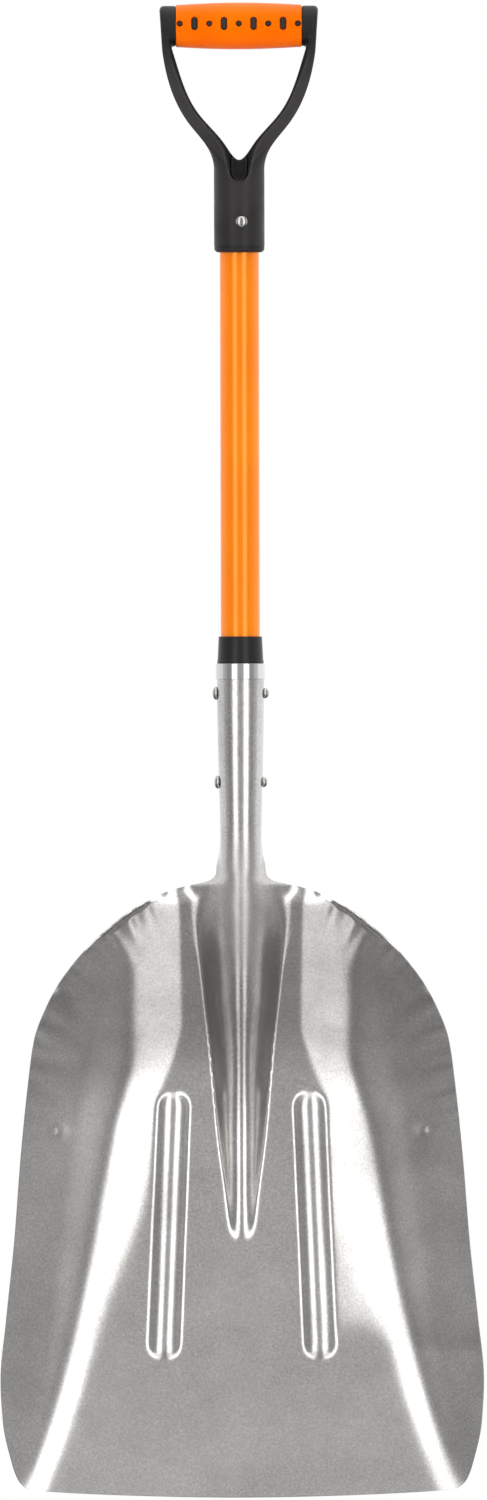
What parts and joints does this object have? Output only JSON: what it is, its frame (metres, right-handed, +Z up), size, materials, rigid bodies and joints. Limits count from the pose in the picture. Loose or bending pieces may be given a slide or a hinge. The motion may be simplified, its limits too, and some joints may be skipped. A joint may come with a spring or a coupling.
{
  "type": "scoop shovel",
  "caption": "Long-handled aluminium scoop shovel with a deep ribbed bowl, a riveted tapered socket, an orange tube shaft and a moulded D handle.",
  "frame": {"origin": "where the shaft axis meets the plane of the blade's front edge, at the middle of that edge as seen from the front", "axes": "+Z up along the shaft from the front edge to the grip, -Y out of the scooping face, X across the blade"},
  "size_m": [0.3918, 0.0901, 1.2104],
  "materials": {
    "blade_aluminium": "satin, drawn and lightly brushed",
    "ring_aluminium": "bright satin",
    "collar_black": "satin moulded",
    "shaft_orange": "smooth gloss pultruded resin",
    "plug_wood": "plain",
    "rivet_steel": "bright plated",
    "handle_black": "fine moulded texture",
    "grip_orange": "satin soft plastic"
  },
  "bodies": {
    "root": {"blade": "blade_aluminium", "socket_ring": "ring_aluminium", "socket_collar": "collar_black", "shaft": "shaft_orange", "lower_core_plug": "plug_wood", "upper_core_plug": "plug_wood", "socket_rivets": "rivet_steel", "handle_rivet": "rivet_steel", "d_handle_yoke": "handle_black", "grip_sleeve": "grip_orange"}
  },
  "joints": []
}
